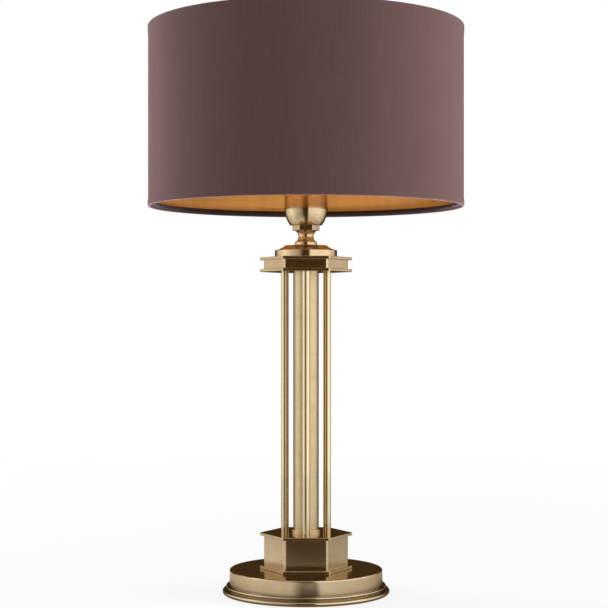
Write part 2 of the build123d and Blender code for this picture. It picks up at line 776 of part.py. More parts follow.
# Cloth cover: the wall, and at both edges a hem that turns under the liner's
# edge, round the wire ring and up inside.  The lower half is turned, then
# mirrored, and its hem is notched where the arms pass.
with BuildPart() as shade_cover:
    with BuildSketch(Plane.XZ):
        with BuildLine():
            hem_inside = Line(
                (hem_inner_radius, hem_top), (hem_inner_radius, shade_bottom + wire_ring_inset)
            )
            under_wire = TangentArc(
                hem_inside @ 1, (wire_ring_radius, shade_bottom), tangent=hem_inside % 1
            )
            under_liner = Line(under_wire @ 1, (hem_outer_radius - hem_edge, shade_bottom))
            hem_round = TangentArc(
                under_liner @ 1, (hem_outer_radius, shade_bottom + hem_edge), tangent=under_liner % 1
            )
            Polyline(
                hem_round @ 1,
                (hem_outer_radius, hem_top),
                (shade_radius, hem_top + hem_fade),
                (shade_radius, shade_middle),
                (shade_radius - cloth_thickness, shade_middle),
                (shade_radius - cloth_thickness, shade_bottom + cloth_thickness),
                (wire_ring_radius, shade_bottom + cloth_thickness),
            )
            inner_round = TangentArc(
                (wire_ring_radius, shade_bottom + cloth_thickness),
                (hem_inner_radius + cloth_thickness, shade_bottom + wire_ring_inset),
                tangent=(-1, 0),
            )
            Polyline(inner_round @ 1, (hem_inner_radius + cloth_thickness, hem_top), hem_inside @ 0)
        make_face()
    revolve(axis=Axis.Z)
    mirror(about=Plane.XY.offset(shade_middle))
    with BuildSketch(Plane.XY.offset(arm_outer_level - frame_wire_radius - glue_gap)):
        with PolarLocations(hem_inner_radius + cloth_thickness / 2, arm_count, start_angle=arm_start_angle):
            Rectangle(4 * cloth_thickness, arm_notch_width)
    extrude(amount=hem_height, mode=Mode.SUBTRACT)
shade_cover.part.label = "shade_cover"
export_step(shade_cover.part, "parts/shade_cover.step")
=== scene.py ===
# %% [markdown]
# # A column table lamp in antique brass
# The lamp is a round turned base, a hexagonal pedestal, three polished rods
# round a satin tube, a hexagonal capital, a turned neck and cup, and a drum
# shade lined with gold film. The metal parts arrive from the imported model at
# their real size, so this lesson gives them their finish, and makes the cloth,
# the felt, the threads and the welds. It starts by loading that model.

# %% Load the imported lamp
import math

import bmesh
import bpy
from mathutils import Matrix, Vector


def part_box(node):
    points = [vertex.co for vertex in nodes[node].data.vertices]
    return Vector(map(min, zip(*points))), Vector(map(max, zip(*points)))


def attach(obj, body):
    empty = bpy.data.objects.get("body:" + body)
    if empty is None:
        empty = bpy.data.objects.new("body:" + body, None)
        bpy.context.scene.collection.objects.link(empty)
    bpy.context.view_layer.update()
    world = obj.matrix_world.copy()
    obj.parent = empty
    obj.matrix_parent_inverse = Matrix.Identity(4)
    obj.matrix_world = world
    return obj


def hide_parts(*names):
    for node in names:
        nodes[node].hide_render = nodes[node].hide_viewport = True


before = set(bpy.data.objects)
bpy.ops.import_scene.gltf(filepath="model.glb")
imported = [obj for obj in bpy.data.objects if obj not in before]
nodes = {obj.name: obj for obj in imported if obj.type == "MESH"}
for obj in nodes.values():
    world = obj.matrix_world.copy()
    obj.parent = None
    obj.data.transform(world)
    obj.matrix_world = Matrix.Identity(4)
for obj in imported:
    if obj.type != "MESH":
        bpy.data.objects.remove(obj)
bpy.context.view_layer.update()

# %% [markdown]
# ## Tools and units
# Blender works in metres, and a lamp is easier to read in millimetres, so one
# factor turns a size in millimetres into metres. `bmesh` builds and edits the
# meshes.

mm = 0.001

# %% [markdown]
# ## The camera
# A product photograph like this one is taken with a long lens from the front,
# at about half the lamp's height. The base and the shade of the photographed
# lamp fit two different heights of the camera, and this height lies between
# them. The lens shift moves the picture without tilting the camera, so upright
# edges stay upright.

# %% Camera
picture_size = 608
focal_pixels = 1560
shift_right_pixels = -2
shift_up_pixels = 14.5
camera_distance = 1588 * mm
camera_height = 279.2 * mm

camera_data = bpy.data.cameras.new("front_camera")
camera_data.sensor_width = 36
camera_data.lens = camera_data.sensor_width * focal_pixels / picture_size
camera_data.shift_x = shift_right_pixels / picture_size
camera_data.shift_y = shift_up_pixels / picture_size
camera = bpy.data.objects.new("front_camera", camera_data)
camera.location = (0, -camera_distance, camera_height)
camera.rotation_euler = (math.radians(90), 0, 0)
bpy.context.scene.collection.objects.link(camera)
bpy.context.scene.camera = camera
bpy.context.scene.view_settings.view_transform = "Standard"
print("lens", round(camera_data.lens, 1), "mm at", round(camera_distance, 3), "m")

# %% [markdown]
# ## Small helpers for node materials
# A material is a graph. Each finish below starts with the same few steps: make
# the material, find its Principled shader, and add nodes with their settings.
# These helpers do only that, so each finish stays short enough to read.
# A noise lies between about 0.3 and 0.7, and two helpers stretch that range.


# %% Material helpers
def new_finish(name):
    """A material with node graph, and its Principled shader."""
    material = bpy.data.materials.new(name)
    material.use_nodes = True
    return material, material.node_tree.nodes["Principled BSDF"]


def add_node(graph, kind, inputs=None, **settings):
    """A node of that kind, with values or links for its inputs."""
    node = graph.nodes.new(kind)
    for key, value in settings.items():
        setattr(node, key, value)
    for key, value in (inputs or {}).items():
        if isinstance(value, bpy.types.NodeSocket):
            graph.links.new(value, node.inputs[key])
        else:
            node.inputs[key].default_value = value
    return node


def math_node(graph, operation, *values, clamp=False):
    """The output of one Math node."""
    inputs = dict(enumerate(values))
    return add_node(graph, "ShaderNodeMath", inputs, operation=operation, use_clamp=clamp).outputs[0]


def object_point(graph):
    """The place on the piece in metres, as a vector."""
    return add_node(graph, "ShaderNodeTexCoord").outputs["Object"]


def scaled(graph, vector, factors):
    """The vector with each part multiplied by its own factor."""
    return add_node(graph, "ShaderNodeVectorMath", {0: vector, 1: factors}, operation="MULTIPLY").outputs[0]


def noise(graph, vector, scale, detail, roughness):
    """A noise between about 0.3 and 0.7 at every place."""
    inputs = {"Vector": vector, "Scale": scale, "Detail": detail, "Roughness": roughness}
    return add_node(graph, "ShaderNodeTexNoise", inputs).outputs["Fac"]


def mapped(graph, value, low, high, to_low, to_high):
    """A value of one range turned into another range."""
    inputs = {"Value": value, "From Min": low, "From Max": high, "To Min": to_low, "To Max": to_high}
    return add_node(graph, "ShaderNodeMapRange", inputs).outputs["Result"]


def from_noise(graph, value, to_low, to_high):
    """A noise turned into another range."""
    return mapped(graph, value, 0.3, 0.7, to_low, to_high)


def noise_sum(graph, first, second, first_share):
    """Two noises as one tone from 0 to 1, with the share that the first one has."""
    first_part = from_noise(graph, first, 0, first_share)
    second_part = from_noise(graph, second, 0, 1 - first_share)
    return math_node(graph, "ADD", first_part, second_part)


def blended(graph, factor, first, second):
    """The colour between two colours."""
    # a Mix node's sockets 0, 6 and 7 are its factor and its two colours
    inputs = {0: factor, 6: first, 7: second}
    return add_node(graph, "ShaderNodeMix", inputs, data_type="RGBA").outputs[2]


def bumped(graph, height, distance):
    """The normal of a surface with that height on it."""
    inputs = {"Height": height, "Distance": distance, "Strength": 1.0}
    return add_node(graph, "ShaderNodeBump", inputs).outputs["Normal"]


def connect(graph, output, socket):
    """Link an output to a shader's socket."""
    graph.links.new(output, socket)


def colour(red, green, blue):
    """A colour as it is written in a drawing program, 0 to 255, made linear."""
    def linear(part):
        part = part / 255
        return part / 12.92 if part <= 0.04045 else ((part + 0.055) / 1.055) ** 2.4
    return (linear(red), linear(green), linear(blue), 1.0)


# %% [markdown]
# ## Edge wear, painted highlight and painted shade
# Antique brass is darkened and then rubbed back. The cloth takes the dark off
# the edges first and never reaches the grooves. The Bevel node returns the
# normal that the edge would have if it were rounded: where this differs from
# the true normal there is an edge. The Ambient Occlusion node tells how open a
# place is, and a groove isn't. Both are ready masks, one for lighter metal and
# one for the dark that stayed. The lighter edges are partly wear and partly a
# painted highlight, and the dark in the grooves is partly patina and partly
# painted shade.


# %% Edge mask
def edge_mask(graph, radius):
    """Nearly 1 on edges and 0 on open faces."""
    rounded = add_node(graph, "ShaderNodeBevel", {"Radius": radius}, samples=6).outputs["Normal"]
    flat = add_node(graph, "ShaderNodeNewGeometry").outputs["Normal"]
    likeness = add_node(graph, "ShaderNodeVectorMath", {0: rounded, 1: flat}, operation="DOT_PRODUCT")
    return mapped(graph, likeness.outputs["Value"], 0.995, 0.9, 0.0, 1.0)


def patina_and_shade_mask(graph, reach):
    """Nearly 1 deep in the piece's own grooves and 0 on open faces."""
    opening = add_node(graph, "ShaderNodeAmbientOcclusion", {"Distance": reach}, samples=16, only_local=True)
    return mapped(graph, opening.outputs["AO"], 0.85, 0.45, 0.0, 1.0)


def aged_with_painted_light(graph, metal, radius, reach):
    """The metal's colour with light edges and dark grooves, and the edge mask."""
    # the lighter edges are wear and painted highlight, and the dark grooves are patina and painted shade
    wear_and_highlight = edge_mask(graph, radius)
    patina_and_painted_shade = blended(graph, patina_and_shade_mask(graph, reach), metal, patina_and_shade_dark)
    return blended(graph, wear_and_highlight, patina_and_painted_shade, edge_wear_and_highlight), wear_and_highlight


# patina and painted shade: the dark that the occlusion mask lays into grooves
patina_and_shade_dark = (0.10, 0.065, 0.038, 1)
# wear and painted highlight: the lighter colour that the edge mask lays on edges
edge_wear_and_highlight = (0.86, 0.70, 0.46, 1)
rubbed_roughness = 0.22
print("edges wear to", edge_wear_and_highlight[:3], "and grooves keep", patina_and_shade_dark[:3])


# %% [markdown]
# ## Turned brass
# The base, cap, neck and cup are turned on a lathe and polished while they
# turn, so the fine scratches run round the axis. Distance from the axis and
# height are the same all along such a scratch. A noise that reads only these
# two gives rings, and a tangent that runs round the axis stretches the
# highlights the way a turned surface does. The pieces have their origin on
# the lamp's axis, so Object coordinates give both numbers directly.


# %% Turned brass
def axis_distance(graph, point):
    """The distance of a place from the lamp's axis."""
    level = scaled(graph, point, (1, 1, 0))
    return add_node(graph, "ShaderNodeVectorMath", {0: level}, operation="LENGTH").outputs["Value"]


def ring_tangent(graph, point):
    """The direction round the lamp's axis."""
    inputs = {0: (0, 0, 1), 1: point}
    across = add_node(graph, "ShaderNodeVectorMath", inputs, operation="CROSS_PRODUCT").outputs[0]
    return add_node(graph, "ShaderNodeVectorMath", {0: across}, operation="NORMALIZE").outputs[0]


quarter_turn = 0.25


def metal_base(name, edge_tint, anisotropy):
    """A metal finish with the values that are the same all over it."""
    material, shader = new_finish(name)
    shader.inputs["Metallic"].default_value = 1.0
    shader.inputs["Specular Tint"].default_value = edge_tint
    shader.inputs["Anisotropic"].default_value = anisotropy
    shader.inputs["Anisotropic Rotation"].default_value = quarter_turn
    return material, shader


def turned_finish(name, dark, light, roughness, ring_scale, ring_depth, edge_tint):
    """Lathe-turned metal: rings, a cloudy patina, and light edges."""
    material, shader = metal_base(name, edge_tint, anisotropy=0.6)
    graph = material.node_tree
    point = object_point(graph)
    height = add_node(graph, "ShaderNodeSeparateXYZ", {0: point}).outputs["Z"]
    ring_point = add_node(graph, "ShaderNodeCombineXYZ", {0: axis_distance(graph, point), 2: height})
    rings = noise(graph, ring_point.outputs[0], ring_scale, 3.0, 0.6)
    clouds = noise(graph, point, 38.0, 4.0, 0.55)
    tone = noise_sum(graph, rings, clouds, 0.45)
    tinted, wear_and_highlight = aged_with_painted_light(graph, blended(graph, tone, dark, light), radius=1.0 * mm, reach=10 * mm)
    connect(graph, tinted, shader.inputs["Base Color"])
    cloudy = from_noise(graph, clouds, roughness * 1.15, roughness * 0.85)
    rubbed = mapped(graph, wear_and_highlight, 0, 1, 0, rubbed_roughness)
    connect(graph, math_node(graph, "ADD", cloudy, rubbed), shader.inputs["Roughness"])
    connect(graph, bumped(graph, rings, ring_depth), shader.inputs["Normal"])
    connect(graph, ring_tangent(graph, point), shader.inputs["Tangent"])
    return material


antique_dark = (0.53, 0.39, 0.228, 1)
antique_light = (0.68, 0.53, 0.335, 1)
antique_edge = (0.75, 0.68, 0.58, 1)
antique_roughness = 0.17
turned_brass = turned_finish(
    "turned_brass", antique_dark, antique_light, antique_roughness, 900.0, 0.006 * mm, antique_edge
)
print("turned brass has", len(turned_brass.node_tree.nodes), "nodes")

# %% [markdown]
# ## Brushed brass
# The hexagonal boxes and plates are cut from sheet that was brushed with a
# belt. On an upright face the lines lie level, so the noise changes fast with
# height and slowly along the face. On a level face height says nothing, so
# there the lines follow the X axis. The face's own normal picks between them.


# %% Brushed brass
def brushed_finish(name, dark, light, roughness, edge_tint):
    """Belt-brushed sheet: level lines, a cloudy patina, and light edges."""
    material, shader = metal_base(name, edge_tint, anisotropy=0.6)
    graph = material.node_tree
    point = object_point(graph)
    upright_lines = noise(graph, scaled(graph, point, (12, 12, 1000)), 1.0, 3.0, 0.6)
    level_lines = noise(graph, scaled(graph, point, (12, 900, 12)), 1.0, 3.0, 0.6)
    normal = add_node(graph, "ShaderNodeNewGeometry").outputs["Normal"]
    rise = math_node(graph, "ABSOLUTE", add_node(graph, "ShaderNodeSeparateXYZ", {0: normal}).outputs["Z"])
    is_level = mapped(graph, rise, 0.4, 0.9, 0.0, 1.0)
    lines = mapped(graph, is_level, 0, 1, upright_lines, level_lines)
    clouds = noise(graph, point, 45.0, 4.0, 0.55)
    tone = noise_sum(graph, lines, clouds, 0.5)
    tinted, wear_and_highlight = aged_with_painted_light(graph, blended(graph, tone, dark, light), radius=0.8 * mm, reach=5 * mm)
    connect(graph, tinted, shader.inputs["Base Color"])
    on_walls = mapped(graph, is_level, 0, 1, roughness, roughness * 0.6)
    cloudy = from_noise(graph, clouds, 1.12, 0.88)
    rubbed = mapped(graph, wear_and_highlight, 0, 1, 0, rubbed_roughness)
    spread = math_node(graph, "MULTIPLY", on_walls, cloudy)
    connect(graph, math_node(graph, "ADD", spread, rubbed), shader.inputs["Roughness"])
    depth = mapped(graph, is_level, 0, 1, 1.0, 0.12)
    height = math_node(graph, "MULTIPLY", lines, depth)
    connect(graph, bumped(graph, height, 0.008 * mm), shader.inputs["Normal"])
    inputs = {0: (0, 0, 1), 1: normal}
    along = add_node(graph, "ShaderNodeVectorMath", inputs, operation="CROSS_PRODUCT").outputs[0]
    # on a level face the cross product is nothing, and the small step leaves the X axis
    inputs = {0: along, 1: (0.001, 0, 0)}
    along_lines = add_node(graph, "ShaderNodeVectorMath", inputs, operation="ADD").outputs[0]
    connect(graph, along_lines, shader.inputs["Tangent"])
    return material


brushed_brass = brushed_finish("brushed_brass", antique_dark, antique_light, antique_roughness, antique_edge)
print("brushed brass has", len(brushed_brass.node_tree.nodes), "nodes")

# %% [markdown]
# ## Drawn and polished brass
# The three rods are drawn through a die and buffed to a mirror, so what is
# left are faint lines along the rod. The tube round the axis is satin: rolled
# with a fine abrasive belt, it has short marks round it and a soft highlight.
# Both are yellower than the antique parts, because they weren't darkened.


# %% Rods and tube
def drawn_finish(name, dark, light, roughness, factors, depth, anisotropy, edge_tint):
    """Drawn metal: lines whose direction the factors set, and a faint patina."""
    material, shader = metal_base(name, edge_tint, anisotropy)
    graph = material.node_tree
    point = object_point(graph)
    lines = noise(graph, scaled(graph, point, factors), 1.0, 3.0, 0.6)
    clouds = noise(graph, point, 60.0, 3.0, 0.5)
    tone = noise_sum(graph, lines, clouds, 0.5)
    connect(graph, blended(graph, tone, dark, light), shader.inputs["Base Color"])
    cloudy = from_noise(graph, clouds, roughness * 1.15, roughness * 0.85)
    connect(graph, cloudy, shader.inputs["Roughness"])
    connect(graph, bumped(graph, lines, depth), shader.inputs["Normal"])
    connect(graph, ring_tangent(graph, point), shader.inputs["Tangent"])
    return material


bright_edge = (0.3, 0.25, 0.2, 1)
polished_brass = drawn_finish(
    "polished_brass",
    dark=(0.66, 0.54, 0.32, 1),
    light=(0.72, 0.61, 0.39, 1),
    roughness=0.08,
    factors=(700, 700, 6),
    depth=0.004 * mm,
    anisotropy=0.0,
    edge_tint=bright_edge,
)
satin_brass = drawn_finish(
    "satin_brass",
    dark=(0.46, 0.35, 0.20, 1),
    light=(0.58, 0.45, 0.275, 1),
    roughness=0.22,
    factors=(160, 160, 900),
    depth=0.01 * mm,
    anisotropy=0.7,
    edge_tint=bright_edge,
)
print("rods and tube:", polished_brass.name, satin_brass.name)

# %% [markdown]
# ## The parts inside
# Iron, zinc-plated steel, wire, contact brass, moulded plastic and glazed
# ceramic are seen only from below or down through the shade. Each has a grain
# of its own: cast iron is pitted, zinc shows crystals, plastic has a fine
# spark-eroded texture, and the ceramic core is smooth with a soft, wavy glaze.


# %% Finishes of the hidden parts
def grained_finish(name, dark, light, roughness, grain_scale, depth, metallic=0.0, coat=0.0, kind="noise"):
    """A plain material with its grain: a tone, a roughness and a bump that follow it."""
    material, shader = new_finish(name)
    shader.inputs["Metallic"].default_value = metallic
    shader.inputs["Coat Weight"].default_value = coat
    graph = material.node_tree
    point = object_point(graph)
    if kind == "crystals":
        cells = add_node(graph, "ShaderNodeTexVoronoi", {"Vector": point, "Scale": grain_scale})
        grain = add_node(graph, "ShaderNodeSeparateColor", {0: cells.outputs["Color"]}).outputs[0]
    else:
        grain = from_noise(graph, noise(graph, point, grain_scale, 4.0, 0.6), 0, 1)
    clouds = from_noise(graph, noise(graph, point, grain_scale / 12, 3.0, 0.5), 0, 1)
    tone = math_node(graph, "MULTIPLY", math_node(graph, "ADD", grain, clouds), 0.5)
    connect(graph, blended(graph, tone, dark, light), shader.inputs["Base Color"])
    connect(graph, mapped(graph, tone, 0, 1, roughness * 1.2, roughness * 0.8), shader.inputs["Roughness"])
    connect(graph, bumped(graph, grain, depth), shader.inputs["Normal"])
    return material


cast_iron = grained_finish(
    "cast_iron", (0.06, 0.058, 0.055, 1), (0.16, 0.155, 0.15, 1), 0.6, 900, 0.15 * mm, metallic=1.0
)
zinc_steel = grained_finish(
    "zinc_steel",
    (0.42, 0.43, 0.44, 1),
    (0.62, 0.62, 0.6, 1),
    0.35,
    700,
    0.005 * mm,
    metallic=1.0,
    kind="crystals",
)
frame_wire = grained_finish(
    "frame_wire", (0.55, 0.5, 0.4, 1), (0.72, 0.66, 0.52, 1), 0.4, 800, 0.01 * mm, metallic=1.0
)
contact_brass = grained_finish(
    "contact_brass", (0.72, 0.56, 0.28, 1), (0.86, 0.7, 0.4, 1), 0.28, 600, 0.004 * mm, metallic=1.0
)
holder_plastic = grained_finish(
    "holder_plastic", colour(24, 23, 22), colour(40, 38, 36), 0.42, 2500, 0.01 * mm
)
bush_plastic = grained_finish(
    "bush_plastic", colour(58, 46, 34), colour(76, 62, 48), 0.4, 2500, 0.01 * mm
)
ceramic = grained_finish(
    "ceramic", colour(214, 208, 196), colour(232, 228, 218), 0.25, 300, 0.01 * mm, coat=0.4
)
hidden_finishes = [cast_iron, zinc_steel, frame_wire, contact_brass, holder_plastic, bush_plastic, ceramic]
print("finishes of the hidden parts:", [finish.name for finish in hidden_finishes])

# %% [markdown]
# ## Gold film
# The cloth is laminated to a gold film, which makes a lit lamp glow warm. The
# film is half metal and half paint: a satin layer that scatters light widely,
# with faint upright bands where the roll was slit and pressed.

# %% Gold film
gold_film, gold_shader = new_finish("gold_film")
gold_graph = gold_film.node_tree
gold_point = object_point(gold_graph)
gold_bands = noise(gold_graph, scaled(gold_graph, gold_point, (90, 90, 3)), 1.0, 3.0, 0.5)
gold_fleck = noise(gold_graph, gold_point, 1800.0, 2.0, 0.5)
gold_tone = noise_sum(gold_graph, gold_bands, gold_fleck, 0.6)
gold_colour = blended(gold_graph, gold_tone, colour(208, 152, 77), colour(222, 170, 94))
gold_shader.inputs["Metallic"].default_value = 0.4
connect(gold_graph, gold_colour, gold_shader.inputs["Base Color"])
connect(gold_graph, from_noise(gold_graph, gold_bands, 0.5, 0.38), gold_shader.inputs["Roughness"])
connect(gold_graph, bumped(gold_graph, gold_fleck, 0.01 * mm), gold_shader.inputs["Normal"])
print("gold film has", len(gold_graph.nodes), "nodes")

# %% [markdown]
# ## Who wears which finish
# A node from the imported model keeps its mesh, and only its material slots are
# filled anew. The record names the slot of each node, so one table from slot
# to finish dresses them all. The tube shares the slot of the turned parts but
# is satin, so it is set by its own name.

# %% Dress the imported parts
finish_of_slot = {
    "turned_brass": turned_brass,
    "brushed_brass": brushed_brass,
    "polished_brass": polished_brass,
    "contact_brass": contact_brass,
    "cast_iron": cast_iron,
    "zinc_steel": zinc_steel,
    "frame_wire": frame_wire,
    "holder_plastic": holder_plastic,
    "bush_plastic": bush_plastic,
    "ceramic": ceramic,
    "gold_liner": gold_film,
}
for node in nodes.values():
    for slot in node.material_slots:
        slot_name = slot.material.name.split(".")[0]
        slot.material = finish_of_slot.get(slot_name, slot.material)
nodes["central_tube"].material_slots[0].material = satin_brass
for name in sorted(nodes):
    print(name, [slot.material.name for slot in nodes[name].material_slots])

# %% [markdown]
# ## The cloth of the shade
# The cover is one strip of plain-woven cloth glued to the film. It goes round
# the drum and overlaps itself by about 10 mm at the back, and at both
# hems it turns in round a wire. A sheet like this is one profile swept round
# the axis. The profile runs from the inner hem round the lower wire, up the
# wall and round the upper wire, and `spin` sweeps it. A second short spin with
# an outward step lays the lap on top of the start, and Solidify gives the
# cloth its thickness.

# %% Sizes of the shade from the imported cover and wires
cover_low, cover_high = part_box("shade_cover")
wire_low, wire_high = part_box("lower_wire_ring")
upper_low, upper_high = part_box("upper_wire_ring")
wire_radius = (wire_high.z - wire_low.z) / 2
ring_radius = (wire_high.x - wire_low.x) / 2 - wire_radius
hem_stands_out = 0.5 * mm
shade_radius = (cover_high.x - cover_low.x) / 2 - hem_stands_out
cloth_thickness = 0.5 * mm
wire_levels = [(low.z + high.z) / 2 for low, high in ((wire_low, wire_high), (upper_low, upper_high))]
print("shade radius", round(shade_radius, 4), "from", round(cover_low.z, 4), "to", round(cover_high.z, 4))
print("wires at", [round(level, 4) for level in wire_levels])

# %% [markdown]
# ## A profile that is swept
# The same three steps make every swept piece: a chain of corners, corners
# rounded by a vertex bevel, and a spin about the axis. A full turn is merged
# where it closes. Recalculated normals face outwards before the mesh is kept.


# %% Helpers for swept pieces
full_turn = 2 * math.pi
touching = 0.001 * mm


def everything(mesh):
    """All points, edges and faces of a mesh."""
    return mesh.verts[:] + mesh.edges[:] + mesh.faces[:]


def joined(mesh):
    """Merge the points of a mesh that lie on each other."""
    bmesh.ops.remove_doubles(mesh, verts=mesh.verts[:], dist=touching)


def chain(mesh, corners):
    """A chain of edges through the corners, each given as radius and height."""
    points = [mesh.verts.new((radius, 0, level)) for radius, level in corners]
    for first, second in zip(points, points[1:]):
        mesh.edges.new((first, second))
    return points


def rounded(mesh, points, radius, segments):
    """Turn corners of a chain into arcs that start a radius away."""
    bmesh.ops.bevel(
        mesh, geom=points, offset=radius, segments=segments, profile=0.5, affect="VERTICES", material=-1
    )


def swept(mesh, angle, steps, geom=None, rise=(0, 0, 0), merge=False):
    """Sweep edges about the lamp's axis, with a step in any direction."""
    return bmesh.ops.spin(
        mesh,
        geom=geom or everything(mesh),
        cent=(0, 0, 0),
        axis=(0, 0, 1),
        dvec=rise,
        angle=angle,
        steps=steps,
        use_merge=merge,
        use_duplicate=False,
    )["geom_last"]


def kept(mesh, name, finish, smooth=True):
    """Clean the mesh and make it an object in the scene."""
    joined(mesh)
    bmesh.ops.recalc_face_normals(mesh, faces=mesh.faces[:])
    data = bpy.data.meshes.new(name)
    mesh.to_mesh(data)
    mesh.free()
    if smooth:
        data.shade_smooth()
    data.materials.append(finish)
    piece = bpy.data.objects.new(name, data)
    bpy.context.scene.collection.objects.link(piece)
    print(name, "has", len(data.polygons), "faces")
    return piece


def thickened(piece, thickness):
    """Give a sheet its thickness, half of it on each side."""
    solidify = piece.modifiers.new("thickness", "SOLIDIFY")
    solidify.thickness = thickness
    solidify.offset = 0
    solidify.use_even_offset = True


# %% [markdown]
# ## Woven cloth
# A plain weave is two sets of threads that take turns on top. The angle round
# the axis times the radius counts the upright threads, and the height counts
# the level ones. Two sine waves make the threads round, and their product
# says which one is on top. Real thread is uneven, so noise stretched along
# each set varies its colour. Fine fibre ends stand off the cloth and catch
# light at a flat angle, which is what the sheen on the shader is for. The
# part of the hem that is turned in is painted darker, as painted shade.

# %% Shade cloth finish
shade_cloth, cloth_shader = new_finish("shade_cloth")
cloth_graph = shade_cloth.node_tree
cloth_point = object_point(cloth_graph)
cloth_parts = add_node(cloth_graph, "ShaderNodeSeparateXYZ", {0: cloth_point})
cloth_angle = math_node(cloth_graph, "ARCTAN2", cloth_parts.outputs["Y"], cloth_parts.outputs["X"])
thread_pitch = 0.55 * mm
round_wall = math_node(cloth_graph, "MULTIPLY", cloth_angle, shade_radius)
up_wall = cloth_parts.outputs["Z"]
warp_phase = math_node(cloth_graph, "MULTIPLY", round_wall, math.pi / thread_pitch)
weft_phase = math_node(cloth_graph, "MULTIPLY", up_wall, math.pi / thread_pitch)
warp = math_node(cloth_graph, "ABSOLUTE", math_node(cloth_graph, "SINE", warp_phase))
weft = math_node(cloth_graph, "ABSOLUTE", math_node(cloth_graph, "SINE", weft_phase))
over = math_node(
    cloth_graph,
    "MULTIPLY",
    math_node(cloth_graph, "COSINE", warp_phase),
    math_node(cloth_graph, "COSINE", weft_phase),
)
warp_on_top = mapped(cloth_graph, over, -0.3, 0.3, 0, 1)
weave = mapped(cloth_graph, warp_on_top, 0, 1, weft, warp)
upright_slubs = add_node(cloth_graph, "ShaderNodeCombineXYZ", {0: round_wall, 2: up_wall}).outputs[0]
warp_slubs = noise(cloth_graph, scaled(cloth_graph, upright_slubs, (900, 0, 24)), 1.0, 3.0, 0.6)
weft_slubs = noise(cloth_graph, scaled(cloth_graph, upright_slubs, (30, 0, 900)), 1.0, 3.0, 0.6)
weft_share = 0.4
slubs = mapped(cloth_graph, weft_share, 0, 1, warp_slubs, weft_slubs)
slub_part = from_noise(cloth_graph, slubs, 0, 0.7)
weave_part = mapped(cloth_graph, weave, 0, 1, 0, 0.3)
cloth_tone = math_node(cloth_graph, "ADD", slub_part, weave_part)
open_cloth_colour = blended(cloth_graph, cloth_tone, colour(101, 74, 70), colour(119, 90, 87))
cloth_reach = axis_distance(cloth_graph, cloth_point)
# painted shade: the turned-in hem inside the rim is darkened towards a deep brown
hem_shade_starts = shade_radius - 0.9 * mm
hem_shade_full = shade_radius - 2.5 * mm
hem_shade = mapped(cloth_graph, cloth_reach, hem_shade_starts, hem_shade_full, 0, 1)
cloth_colour = blended(cloth_graph, hem_shade, open_cloth_colour, colour(44, 30, 28))
connect(cloth_graph, cloth_colour, cloth_shader.inputs["Base Color"])
connect(cloth_graph, mapped(cloth_graph, weave, 0, 1, 0.95, 0.8), cloth_shader.inputs["Roughness"])
connect(cloth_graph, bumped(cloth_graph, weave, 0.06 * mm), cloth_shader.inputs["Normal"])
cloth_shader.inputs["Specular IOR Level"].default_value = 0.25
cloth_shader.inputs["Sheen Weight"].default_value = 0.25
cloth_shader.inputs["Sheen Roughness"].default_value = 0.4
cloth_shader.inputs["Sheen Tint"].default_value = colour(228, 205, 220)
print("shade cloth has", len(cloth_graph.nodes), "nodes, a thread every", thread_pitch / mm, "mm")

# %% Corners of the cloth's profile
hem_height = 6 * mm
hem_fade = 1.5 * mm
hem_bulge = 0.45 * mm
glue_gap = 0.05 * mm
edge_radius = 0.8 * mm
half_cloth = cloth_thickness / 2
inner_hem = ring_radius - wire_radius - half_cloth - glue_gap
wall_radius = shade_radius - half_cloth
hem_radius = wall_radius + hem_bulge
hem_foot = cover_low.z + half_cloth
lower_corners = [
    (inner_hem, cover_low.z + hem_height),
    (inner_hem, hem_foot),
    (hem_radius, hem_foot),
    (hem_radius, cover_low.z + hem_height),
    (wall_radius, cover_low.z + hem_height + hem_fade),
]
middle_level = (cover_low.z + cover_high.z) / 2
upper_corners = [(radius, 2 * middle_level - level) for radius, level in reversed(lower_corners)]
print("cloth wall at", round(wall_radius, 5), "inner hem at", round(inner_hem, 5))

# %% Sweep the cloth with its lap at the back
cloth_mesh = bmesh.new()
cloth_points = chain(cloth_mesh, lower_corners + upper_corners)
wire_bend = [cloth_points[1], cloth_points[-2]]
edge_bend = [cloth_points[2], cloth_points[-3]]
rounded(cloth_mesh, wire_bend, wire_radius + half_cloth, segments=8)
rounded(cloth_mesh, edge_bend, edge_radius, segments=5)
to_the_back = Matrix.Rotation(math.radians(90), 3, "Z")
bmesh.ops.rotate(cloth_mesh, verts=cloth_mesh.verts[:], cent=(0, 0, 0), matrix=to_the_back)
ramp_angle = math.radians(2)
lap_angle = math.radians(3.6)
wall_steps = 178
lap_steps = 4
step_outwards = 0.15 * mm
round_end = swept(cloth_mesh, full_turn - ramp_angle, wall_steps)
ramp_end = swept(cloth_mesh, ramp_angle, lap_steps, round_end, (0, step_outwards, 0))
swept(cloth_mesh, lap_angle, lap_steps, ramp_end)
shade_cover = kept(cloth_mesh, "shade_cloth_cover", shade_cloth)
thickened(shade_cover, cloth_thickness)
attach(shade_cover, "shade")
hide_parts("shade_cover")

# %% [markdown]
# ## Felt under the base
# A disc of wool felt closes the base and keeps it from scratching the table.
# Felt is matted fibre with no thread direction: a fine noise for the fibres,
# a coarser one for the uneven thickness, and a soft sheen. The disc is a
# circle, inset a few times and thickened, with its rim rounded.

